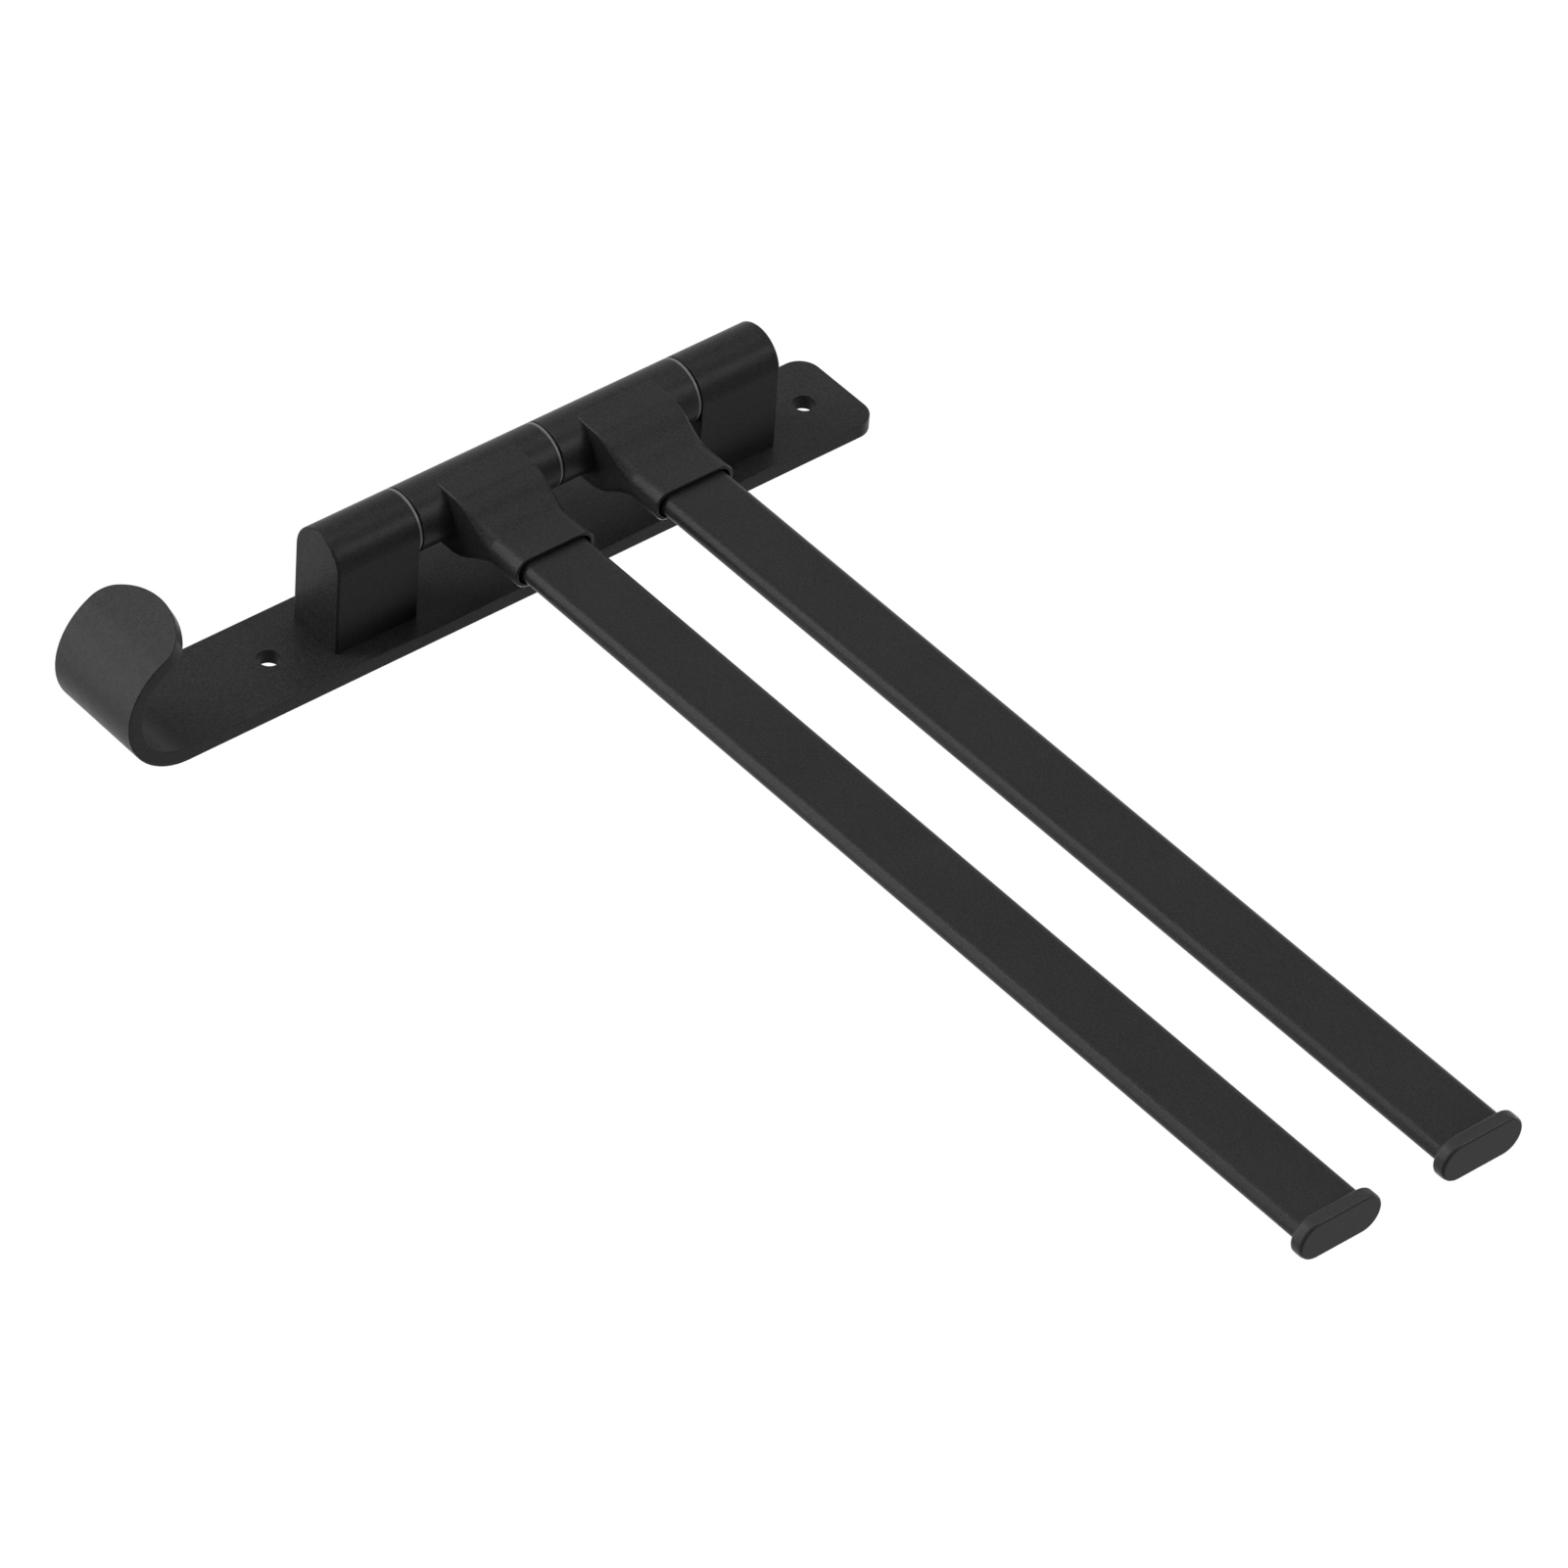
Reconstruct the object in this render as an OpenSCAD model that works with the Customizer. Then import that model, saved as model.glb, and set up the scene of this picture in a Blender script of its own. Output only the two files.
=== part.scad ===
// Swing arm towel bar: a wall plate bent into a robe hook at its foot, two posts, a rod between
// them, and two flat bars that swing on the rod from side to side in front of the wall.
// Frame: +Z up along the plate, the wall is the plane y = 0, the room is on the -Y side, and
// both bars point along +X at rest. The origin is midway between the two wall screw holes.

/* [Back plate] */
// Width of the flat strip that the plate and its hook are bent from
plate_w = 38; // [32:0.5:46]
// Thickness of the strip
plate_t = 5.4; // [4:0.1:7]
// Distance between the two wall screw holes
wall_hole_pitch = 214; // [206:1:250]
// Diameter of the wall screw holes
wall_hole_d = 7.6; // [4:0.1:9]
// Distance from the upper wall screw hole to the top end of the plate
plate_top_margin = 15.6; // [12:0.2:25]
// Radius of the plate's two top corners
plate_corner_r = 7.5; // [2:0.5:10]

/* [Hook] */
// Distance from the lower wall screw hole down to the start of the hook's bend
hook_drop = 44.5; // [20:0.5:60]
// Inner radius of the hook's bend
hook_r = 18.1; // [14:0.1:24]
// Angle in degrees that the strip turns through in the hook
hook_angle = 152; // [130:1:170]
// Length of the flat tongue beyond the bend
tongue_len = 14.5; // [13:0.5:15]
// Radius of the tongue's two rounded corners
tongue_corner_r = 11; // [6:0.5:12]

/* [Posts] */
// Length of each post along the plate
post_len = 31.5; // [30:0.5:36]
// Distance from the wall to the axis that the bars swing on
axis_h = 36; // [30:0.5:45]
// Radius on the edges of each post's outer end
post_edge_r = 0.9; // [0.4:0.1:2]
// Middle of the swivel stack, measured down from midway between the wall screw holes
stack_drop = 1.8; // [0:0.1:3]

/* [Post screws] */
// Diameter of the screws that hold the posts from behind the plate
post_screw_d = 4; // [3:0.5:5]
// Head diameter of those screws
post_screw_head_d = 8; // [7:0.5:9]
// Length of those screws
post_screw_len = 16; // [12:1:20]
// Distance between the two screws of one post
post_screw_pitch = 19; // [17:0.5:20]

/* [Pivot rod] */
// Diameter of the rod that both bars swing on
rod_d = 8; // [6:0.5:9]
// How far the rod reaches into each post
rod_seat = 21.5; // [18:0.5:24]
// Diameter of the grub screw that locks the rod in each post
rod_grub_d = 5; // [4:0.5:6]
// Length of that grub screw
rod_grub_len = 8; // [6:0.5:12]

/* [Swivel hubs] */
// Outer diameter of the swivel hubs, which is also the width of the posts
hub_d = 22; // [20:0.5:25]
// Length of each hub along the rod
hub_len = 53.7; // [50:0.1:56]
// Chamfer on the rims of each hub
hub_chamfer = 0.3; // [0.1:0.1:0.8]
// Outer diameter of the plain bushes in the hubs
bush_d = 11; // [10.5:0.5:13]
// Length of each bush
bush_len = 16; // [10:1:20]
// Extra radius of the hub's bore between its two bushes
bore_relief = 0.6; // [0.3:0.1:1]

/* [Washers] */
// Thickness of the washers between the hubs and posts
washer_t = 1; // [0.8:0.1:2]
// Play left above each washer
washer_play = 0.55; // [0.05:0.05:0.8]

/* [Neck and socket] */
// Distance from the swing axis to the mouth of the socket
socket_reach = 42; // [40:0.5:52]
// Width of the socket and of the neck that joins it to the hub
socket_w = 31; // [30:0.5:36]
// Thickness of the socket
socket_h = 11.4; // [10.8:0.1:13]
// Distance from the swing axis to where the neck starts to thin down
neck_start = 9; // [7:0.5:11]
// Distance from the swing axis to where the neck reaches the socket's thickness
neck_end = 29; // [26:0.5:32]
// Depth of the pocket that holds the bar
pocket_depth = 18; // [14:0.5:20]
// Depth of the wider recess at the socket's mouth
mouth_recess = 3; // [2:0.5:5]
// Gap between the bar and the wall of that recess
mouth_gap = 1.1; // [0.6:0.1:1.3]
// Radius of the neck's edges where it leaves the hub
neck_edge_r = 0.6; // [0.3:0.1:1.5]

/* [Bars] */
// Width of each flat bar
bar_w = 26.2; // [22:0.2:27]
// Thickness of each flat bar, whose two edges are half round
bar_h = 7.2; // [6:0.1:7.6]
// Wall of the hollow bar
bar_wall = 1.3; // [1:0.1:1.8]
// Distance from the swing axis to the back face of the end cap
bar_reach = 401; // [250:1:500]
// Length of the solid plug in the root of each bar
plug_len = 22; // [16:0.5:40]
// Diameter of the screws that hold each bar in its socket
bar_screw_d = 3; // [2.5:0.5:4]
// Head diameter of those screws
bar_screw_head_d = 5.6; // [5:0.2:6]
// Length of those screws
bar_screw_len = 6.5; // [5:0.5:7]
// Distance between the two screws of one bar
bar_screw_pitch = 13; // [8:0.5:16]
// Distance of those screws back from the socket's mouth
bar_screw_back = 9; // [7:0.5:11]

/* [End caps] */
// Width of the end caps
cap_w = 31.6; // [29:0.2:36]
// Height of the end caps
cap_h = 14.2; // [10:0.2:16]
// Thickness of the end caps' flange
cap_t = 4.9; // [2.5:0.1:6]
// Radius on the edges of the flange
cap_edge_r = 1; // [0.2:0.1:1.5]
// Length of the spigot that plugs into the bar
spigot_len = 14; // [8:0.5:25]

/* [Fits] */
// Radial clearance of the rod in its bushes
running_fit = 0.05; // [0.01:0.01:0.1]
// Radial clearance of screws and the rod in their own holes
close_fit = 0.03; // [0.01:0.01:0.05]
// Clearance around screws that pass through, and around the bar, plugs and spigots
loose_fit = 0.1; // [0.05:0.01:0.2]
// Gap below every washer
washer_gap = 0.05; // [0.02:0.01:0.1]
// Depth of countersunk heads below the surface
head_sink = 0.05; // [0:0.01:0.08]

/* [Hidden] */
$fn = 64;

// How far a cut runs past the face that it opens
cut_over = 0.5;
// Length of the tongue's straight sides, before its corners begin
tongue_side_len = 0.5;
// The tongue lies this much inside the bend's faces all round and runs this far into the bend,
// so that the two join in one solid at any angle
tongue_relief = 0.05;
tongue_root = 1.2;
// Key size across the corners and key depth of the hexagon sockets in the screws
key_r_share = 0.36;
key_depth_share = 0.7;
// How far the neck's root slab stays below the top of the hub, so that it grows out of the round
neck_inset = 0.1;
// Distance of the neck's first section from the swing axis, inside the hub
neck_root = 1;
// Half height of the flat left along the middle of the socket's two round edges
edge_flat = 0.1;
// Number of straight stretches that the neck's thinning curve is made of
neck_steps = 12;
// Number of facets on each round corner of the neck's sections
corner_steps = 8;

hub_r = hub_d / 2;
rod_r = rod_d / 2;
bush_r = bush_d / 2;
hook_outer_r = hook_r + plate_t;
hook_z = -wall_hole_pitch / 2 - hook_drop;
plate_top_z = wall_hole_pitch / 2 + plate_top_margin;
washer_room = washer_gap + washer_t + washer_play;
stack_pitch = hub_len + washer_room;
stack_half = stack_pitch + washer_room / 2;
rod_len = 2 * (stack_half + rod_seat);
rod_bore_depth = rod_seat + cut_over;
pocket_floor = socket_reach - pocket_depth;
bar_start = pocket_floor + loose_fit;
bar_bore_w = bar_w - 2 * bar_wall;
bar_bore_h = bar_h - 2 * bar_wall;
bar_screw_x = socket_reach - bar_screw_back;
// The thinning curve of the neck is two equal arcs that meet halfway
neck_run = (neck_end - neck_start) / 2;
neck_fall = (hub_r - neck_inset - socket_h / 2) / 2;
socket_edge_r = socket_h / 2 - edge_flat;
neck_arc_r = (neck_run * neck_run + neck_fall * neck_fall) / (2 * neck_fall);
// Radius of the arc that rounds the tip of the tongue and is tangent to its corners
tongue_half = plate_w / 2 - tongue_relief;
tongue_side = tongue_half - tongue_corner_r;
tongue_round = tongue_len - tongue_side_len;
tongue_tip_r = (tongue_side * tongue_side + tongue_round * tongue_round
    - tongue_corner_r * tongue_corner_r) / (2 * (tongue_round - tongue_corner_r));

// Flat outline with two rounded corners at its far end, as wide as w, from y0 to y1
module rounded_end_outline(w, y0, y1, r) {
    translate([-w / 2, y0]) square([w, y1 - y0 - r]);
    translate([r - w / 2, y0]) square([w - 2 * r, y1 - y0]);
    for (side = [-1, 1]) translate([side * (w / 2 - r), y1 - r]) circle(r = r);
}

// Bar with two half-round edges: wide along Z, thick along Y, running along X from x0
module flat_bar(w, h, x0, length) {
    translate([x0, 0, 0]) rotate([0, 90, 0]) {
        for (side = [-1, 1]) translate([side * (w - h) / 2, 0, 0]) cylinder(d = h, h = length);
        translate([(h - w) / 2, -h / 2, 0]) cube([w - h, h, length]);
    }
}

// Round solid of revolution about Z whose far rim is rounded
module rounded_drum(r, h, edge_r) {
    rotate_extrude() intersection() {
        rounded_end_outline(2 * r, 0, h, edge_r);
        square([r, h]);
    }
}

// Countersunk screw along +Z with its head face at z = 0 and a hexagon socket in the head
module countersunk_screw(d, head_d, length) {
    difference() {
        rotate_extrude() polygon([[0, 0], [head_d / 2, 0], [d / 2, (head_d - d) / 2],
            [d / 2, length], [0, length]]);
        translate([0, 0, -cut_over])
            cylinder(r = d * key_r_share, h = cut_over + d / 2 * key_depth_share, $fn = 6);
    }
}

// Hole for such a screw, clear by c all round
module countersunk_hole(d, head_d, depth, c) {
    hole_r = d / 2 + c;
    mouth_r = head_d / 2 + c + head_sink;
    rotate_extrude() polygon([[0, -cut_over], [mouth_r + cut_over, -cut_over],
        [hole_r, mouth_r - hole_r], [hole_r, depth], [0, depth]]);
}

// Places its children at the two screws of each post, with +Z turned to point away from the wall
module at_post_screws() {
    for (end = [-1, 1], side = [-1, 1])
        translate([0, 0, -stack_drop + end * (stack_half + post_len / 2)
            + side * post_screw_pitch / 2]) rotate([90, 0, 0]) children();
}

// Frame of the hook: origin at the bend's centre, angle 0 where the bend leaves the plate
module hook_frame() {
    translate([0, -hook_outer_r, hook_z]) rotate([-90, 0, 0]) rotate([0, -90, 0]) children();
}

// Flat outline of the tongue: straight sides, two round corners and a wide round tip
module tongue_outline() {
    reach = (tongue_tip_r + cut_over) / (tongue_tip_r - tongue_round);
    tip_y = tongue_round - tongue_tip_r;
    translate([-tongue_half, -tongue_root])
        square([2 * tongue_half, tongue_root + tongue_side_len]);
    translate([0, tongue_side_len]) intersection() {
        union() {
            for (side = [-1, 1]) translate([side * tongue_side, 0]) circle(r = tongue_corner_r);
            intersection() {
                translate([0, tip_y]) circle(r = tongue_tip_r);
                translate([0, tip_y]) polygon([[0, 0], [tongue_side * reach, -tip_y * reach],
                    [-tongue_side * reach, -tip_y * reach]]);
            }
        }
        translate([-tongue_half, 0]) square([2 * tongue_half, tongue_len]);
    }
}

module back_plate() {
    color([0.19, 0.19, 0.19]) difference() {
        union() {
            rotate([90, 0, 0]) linear_extrude(plate_t)
                rounded_end_outline(plate_w, hook_z, plate_top_z, plate_corner_r);
            hook_frame() rotate_extrude(angle = hook_angle)
                translate([hook_r, -plate_w / 2]) square([plate_t, plate_w]);
            hook_frame() rotate([0, 0, hook_angle]) translate([hook_outer_r, 0, 0])
                rotate([0, -90, 0]) translate([0, 0, tongue_relief])
                    linear_extrude(plate_t - 2 * tongue_relief) tongue_outline();
        }
        for (end = [-1, 1]) translate([0, cut_over, end * wall_hole_pitch / 2])
            rotate([90, 0, 0]) cylinder(d = wall_hole_d, h = plate_t + 2 * cut_over);
        at_post_screws() countersunk_hole(post_screw_d, post_screw_head_d,
            plate_t + cut_over, loose_fit);
    }
}

// Post that stands on the plate, with its inner face at z = 0 and its body above that
module post_body() {
    difference() {
        union() {
            translate([0, -axis_h, 0]) rounded_drum(hub_r, post_len, post_edge_r);
            translate([0, -plate_t, 0]) rotate([90, 0, 0]) linear_extrude(axis_h - plate_t)
                rounded_end_outline(hub_d, 0, post_len, post_edge_r);
        }
        translate([0, -axis_h, -cut_over])
            cylinder(r = rod_r + close_fit, h = rod_bore_depth + cut_over);
        for (side = [-1, 1]) translate([0, 0, (post_len + side * post_screw_pitch) / 2])
            rotate([90, 0, 0])
                cylinder(r = post_screw_d / 2 + close_fit, h = post_screw_len + cut_over);
        translate([0, 0, post_len / 2]) rotate([90, 0, 0])
            cylinder(r = rod_grub_d / 2 + close_fit, h = axis_h - rod_r / 2);
    }
}

module upper_post() {
    color([0.21, 0.21, 0.21]) translate([0, 0, stack_half - stack_drop]) post_body();
}

module lower_post() {
    color([0.21, 0.21, 0.21]) translate([0, 0, -stack_half - stack_drop]) mirror([0, 0, 1]) post_body();
}

module post_screws() {
    color([0.55, 0.55, 0.57]) at_post_screws() translate([0, 0, head_sink])
        countersunk_screw(post_screw_d, post_screw_head_d, post_screw_len);
}

module pivot_rod() {
    color([0.72, 0.72, 0.74]) translate([0, -axis_h, -stack_drop])
        cylinder(d = rod_d, h = rod_len, center = true);
}

// Grub screw in each post, driven from the plate's side up to the rod
module rod_grub_screws() {
    color([0.45, 0.45, 0.47]) for (end = [-1, 1])
        translate([0, rod_r + close_fit - axis_h,
            -stack_drop + end * (stack_half + post_len / 2)]) rotate([-90, 0, 0]) difference() {
            cylinder(d = rod_grub_d, h = rod_grub_len);
            translate([0, 0, rod_grub_len - rod_grub_d / 2 * key_depth_share])
                cylinder(r = rod_grub_d * key_r_share / 2 * sqrt(2), h = rod_grub_len, $fn = 6);
        }
}

// Washer number -1, 0 or 1 counted up the rod
module washer(place) {
    color([0.5, 0.5, 0.5]) translate([0, -axis_h,
        place * stack_pitch - stack_drop - washer_room / 2 + washer_gap]) difference() {
            cylinder(r = hub_r, h = washer_t);
            translate([0, 0, -cut_over])
                cylinder(r = rod_r + running_fit, h = washer_t + 2 * cut_over);
        }
}

module lower_washer() { washer(-1); }
module middle_washer() { washer(0); }
module upper_washer() { washer(1); }

// Places its children on one swing arm: end is -1 for the lower arm and 1 for the upper one
module on_arm(end) {
    translate([0, -axis_h, end * stack_pitch / 2 - stack_drop]) children();
}

// Half thickness of the neck at a distance u from the swing axis
function neck_half(u) =
    u <= neck_start ? hub_r - neck_inset
    : u <= neck_start + neck_run
        ? hub_r - neck_inset - neck_arc_r + sqrt(pow(neck_arc_r, 2) - pow(u - neck_start, 2))
    : u < neck_end ? socket_h / 2 + neck_arc_r - sqrt(pow(neck_arc_r, 2) - pow(neck_end - u, 2))
    : socket_h / 2;

// Radius of the neck's four long edges there, which grows until the socket is half round
function neck_corner(u) =
    u <= neck_start ? neck_edge_r
    : u < neck_end
        ? neck_edge_r + (socket_edge_r - neck_edge_r) * pow((u - neck_start) / (2 * neck_run), 2)
    : socket_edge_r;

// Points round one section of the neck, from the middle of its +Z edge towards +Y
function neck_section(u) = [for (corner = [0 : 3], i = [0 : corner_steps])
    let (a = 90 * (corner + i / corner_steps), r = neck_corner(u),
        side = corner == 0 || corner == 3 ? 1 : -1, face = corner < 2 ? 1 : -1)
    [u, face * (neck_half(u) - r) + r * sin(a), side * (socket_w / 2 - r) + r * cos(a)]];

// Neck and socket in one: sections from inside the hub out to the socket's mouth, skinned over
module neck() {
    step = 2 * neck_run / neck_steps;
    stations = concat([neck_root], [for (i = [0 : neck_steps]) neck_start + i * step],
        [socket_reach]);
    rows = len(stations);
    n = 4 * (corner_steps + 1);
    points = [for (u = stations) each neck_section(u)];
    skin = [for (row = [0 : rows - 2], i = [0 : n - 1])
        let (p = row * n + i, q = row * n + (i + 1) % n)
        each [[p, q, q + n], [p, q + n, p + n]]];
    root_cap = [for (i = [0 : n - 1]) n - 1 - i];
    mouth_cap = [for (i = [0 : n - 1]) (rows - 1) * n + i];
    polyhedron(points = points, faces = concat(skin, [root_cap, mouth_cap]));
}

// Places its children at the two screws that hold a bar, with +Z pointing away from the wall
module at_bar_screws() {
    for (side = [-1, 1]) translate([bar_screw_x, socket_h / 2, side * bar_screw_pitch / 2])
        rotate([90, 0, 0]) children();
}

module hub_barrel() {
    rotate_extrude() polygon([[0, -hub_len / 2], [hub_r - hub_chamfer, -hub_len / 2],
        [hub_r, hub_chamfer - hub_len / 2], [hub_r, hub_len / 2 - hub_chamfer],
        [hub_r - hub_chamfer, hub_len / 2], [0, hub_len / 2]]);
}

module hub_body() {
    difference() {
        union() {
            hub_barrel();
            neck();
        }
        cylinder(r = rod_r + bore_relief, h = hub_len, center = true);
        for (end = [-1, 1]) translate([0, 0, end * (hub_len - bush_len + cut_over) / 2])
            cylinder(r = bush_r, h = bush_len + cut_over, center = true);
        flat_bar(bar_w + 2 * loose_fit, bar_h + 2 * loose_fit, pocket_floor,
            pocket_depth + cut_over);
        flat_bar(bar_w + 2 * mouth_gap, bar_h + 2 * mouth_gap, socket_reach - mouth_recess,
            mouth_recess + cut_over);
        at_bar_screws() countersunk_hole(bar_screw_d, bar_screw_head_d, socket_h / 2, loose_fit);
    }
}

module lower_hub() { color([0.2, 0.2, 0.2]) on_arm(-1) hub_body(); }
module upper_hub() { color([0.2, 0.2, 0.2]) on_arm(1) hub_body(); }

// The two plain bushes pressed into one hub, flush with its ends
module bush_pair() {
    color([0.85, 0.84, 0.8]) for (end = [-1, 1])
        translate([0, 0, end * (hub_len - bush_len) / 2]) difference() {
            cylinder(r = bush_r, h = bush_len, center = true);
            cylinder(r = rod_r + running_fit, h = bush_len + 2 * cut_over, center = true);
        }
}

module lower_hub_bushes() { on_arm(-1) bush_pair(); }
module upper_hub_bushes() { on_arm(1) bush_pair(); }

// Hollow flat bar, drilled on the wall side for its screws
module bar_body() {
    color([0.19, 0.19, 0.19]) difference() {
        flat_bar(bar_w, bar_h, bar_start, bar_reach - bar_start);
        flat_bar(bar_bore_w, bar_bore_h, bar_start - cut_over, bar_reach - bar_start + 2 * cut_over);
        at_bar_screws() cylinder(r = bar_screw_d / 2 + loose_fit, h = socket_h / 2);
    }
}

module lower_bar() { on_arm(-1) bar_body(); }
module upper_bar() { on_arm(1) bar_body(); }

// Solid plug that the bar's screws bite into
module plug_body() {
    color([0.6, 0.6, 0.62]) difference() {
        flat_bar(bar_bore_w - 2 * loose_fit, bar_bore_h - 2 * loose_fit, bar_start, plug_len);
        at_bar_screws() cylinder(r = bar_screw_d / 2 + close_fit, h = socket_h);
    }
}

module lower_bar_plug() { on_arm(-1) plug_body(); }
module upper_bar_plug() { on_arm(1) plug_body(); }

module bar_screw_pair() {
    color([0.45, 0.45, 0.47]) at_bar_screws() translate([0, 0, head_sink])
        countersunk_screw(bar_screw_d, bar_screw_head_d, bar_screw_len);
}

module lower_bar_screws() { on_arm(-1) bar_screw_pair(); }
module upper_bar_screws() { on_arm(1) bar_screw_pair(); }

// End cap: a flange with two half-round edges and a spigot that plugs into the bar
module cap_body() {
    color([0.23, 0.23, 0.23]) {
        translate([bar_reach, 0, 0]) rotate([0, 90, 0]) {
            for (side = [-1, 1]) translate([side * (cap_w - cap_h) / 2, 0, 0])
                rounded_drum(cap_h / 2, cap_t, cap_edge_r);
            translate([(cap_h - cap_w) / 2, 0, 0]) rotate([90, 0, 90])
                linear_extrude(cap_w - cap_h) rounded_end_outline(cap_h, 0, cap_t, cap_edge_r);
        }
        flat_bar(bar_bore_w - 2 * loose_fit, bar_bore_h - 2 * loose_fit, bar_reach - spigot_len,
            spigot_len);
    }
}

module lower_end_cap() { on_arm(-1) cap_body(); }
module upper_end_cap() { on_arm(1) cap_body(); }

back_plate();
lower_post();
upper_post();
post_screws();
pivot_rod();
rod_grub_screws();
lower_washer();
middle_washer();
upper_washer();
lower_hub();
upper_hub();
lower_hub_bushes();
upper_hub_bushes();
lower_bar();
upper_bar();
lower_bar_plug();
upper_bar_plug();
lower_bar_screws();
upper_bar_screws();
lower_end_cap();
upper_end_cap();
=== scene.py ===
"""Looks of the swing arm towel bar: its bent plate, posts, swivel hubs, flat bars and end caps.

Every piece is made in millimetres in the row frame (+Z up the plate, the wall at y = 0, the bars
along +X) and is turned to metres when it is finished.
"""
import logging
import math
from abc import ABC, abstractmethod
from collections.abc import Callable, Iterable, Sequence
from dataclasses import dataclass, field
from enum import Enum

import bmesh
import bpy
from mathutils import Matrix, Quaternion, Vector


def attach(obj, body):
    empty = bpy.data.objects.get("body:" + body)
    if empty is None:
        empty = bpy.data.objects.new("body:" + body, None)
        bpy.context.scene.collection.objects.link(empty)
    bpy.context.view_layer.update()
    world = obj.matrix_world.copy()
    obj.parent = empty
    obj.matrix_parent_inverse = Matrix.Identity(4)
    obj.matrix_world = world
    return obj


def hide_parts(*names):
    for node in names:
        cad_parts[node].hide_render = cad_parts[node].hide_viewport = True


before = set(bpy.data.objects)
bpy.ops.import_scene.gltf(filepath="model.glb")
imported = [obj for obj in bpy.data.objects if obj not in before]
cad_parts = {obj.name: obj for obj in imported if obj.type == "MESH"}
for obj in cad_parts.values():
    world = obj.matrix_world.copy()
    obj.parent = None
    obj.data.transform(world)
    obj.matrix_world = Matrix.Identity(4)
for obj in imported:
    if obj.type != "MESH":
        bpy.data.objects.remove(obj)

LOG = logging.getLogger("towel_bar")
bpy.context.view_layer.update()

MM = 0.001  # metres in a millimetre, which the next lengths are in
MERGE = 1e-4  # distance within which points are merged
LEVEL = 1e-3  # distance within which a point counts as lying at a height
SLIVER = 0.02  # half of the flat left on a half-round edge, which keeps its points apart
OVERCUT = 1.0  # how far a cutter stands out of what it cuts
WHITE = (1.0, 1.0, 1.0, 1.0)

Colour = tuple[float, float, float]
Point = tuple[float, float]
Point3 = tuple[float, float, float]
Edge = bmesh.types.BMEdge
Face = bmesh.types.BMFace
Piece = bpy.types.Object
Node = bpy.types.Node
Socket = bpy.types.NodeSocket


class Tier(Enum):
    """The lower and the upper one of a pair, valued by their place on the rod."""

    LOWER = -1
    UPPER = 1

    @property
    def label(self) -> str:
        """Its name in nodes and bodies."""
        return self.name.lower()

    @property
    def body(self) -> str:
        """The CAD body that the pieces of its swing arm ride on."""
        return f"{self.label}_swing_arm"


@dataclass(frozen=True)
class Layout:
    """Sizes that several sub-assemblies share, in millimetres.

    Attributes:
        axis_depth: Distance from the wall to the swing axis.
        stack_z: Height of the middle of the swivel stack.
        hub_radius: Outer radius of the hubs and posts.
        hub_length: Length of one hub.
        hub_pitch: Distance between the middles of the two hubs.
        stack_half: Half of the distance between the posts' inner faces.
        bar_width: Width of a flat bar.
        bar_thickness: Thickness of a flat bar.
        bar_reach: Distance from the swing axis to the end cap's back face.
    """

    axis_depth: float = 36.0
    stack_z: float = -1.8
    hub_radius: float = 11.0
    hub_length: float = 53.7
    hub_pitch: float = 55.3
    stack_half: float = 56.1
    bar_width: float = 26.2
    bar_thickness: float = 7.2
    bar_reach: float = 401.0

    def axis_point(self, z: float) -> Vector:
        """A point on the swing axis at height z above the middle of the stack."""
        return Vector((0.0, -self.axis_depth, self.stack_z + z))

    def arm_place(self, tier: Tier) -> Matrix:
        """Where an arm's own frame sits in the row frame."""
        return Matrix.Translation(self.axis_point(tier.value * self.hub_pitch / 2))


LAYOUT = Layout()


class Port:
    """A number coming out of a shader socket, with arithmetic."""

    def __init__(self, sheet: "Sheet", socket: Socket) -> None:
        """Wraps a socket of a node in a sheet."""
        self.sheet = sheet
        self.socket = socket

    def _math(self, operation: str, *values: "Port | float") -> "Port":
        """Adds a Math node.

        Args:
            operation: The Math node's operation.
            values: Its inputs in order.

        Returns:
            The node's value.
        """
        node = self.sheet.node("ShaderNodeMath", {"operation": operation}, dict(enumerate(values)))
        return Port(self.sheet, node.outputs[0])

    def __add__(self, other: "Port | float") -> "Port":
        """Sum."""
        return self._math("ADD", self, other)

    __radd__ = __add__

    def __sub__(self, other: "Port | float") -> "Port":
        """Difference."""
        return self._math("SUBTRACT", self, other)

    def __rsub__(self, other: float) -> "Port":
        """Difference from a plain number."""
        return self._math("SUBTRACT", other, self)

    def __mul__(self, other: "Port | float") -> "Port":
        """Product."""
        return self._math("MULTIPLY", self, other)

    __rmul__ = __mul__

    def clamped(self) -> "Port":
        """The value kept between 0 and 1."""
        return self._math("MAXIMUM", self._math("MINIMUM", self, 1.0), 0.0)


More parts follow.
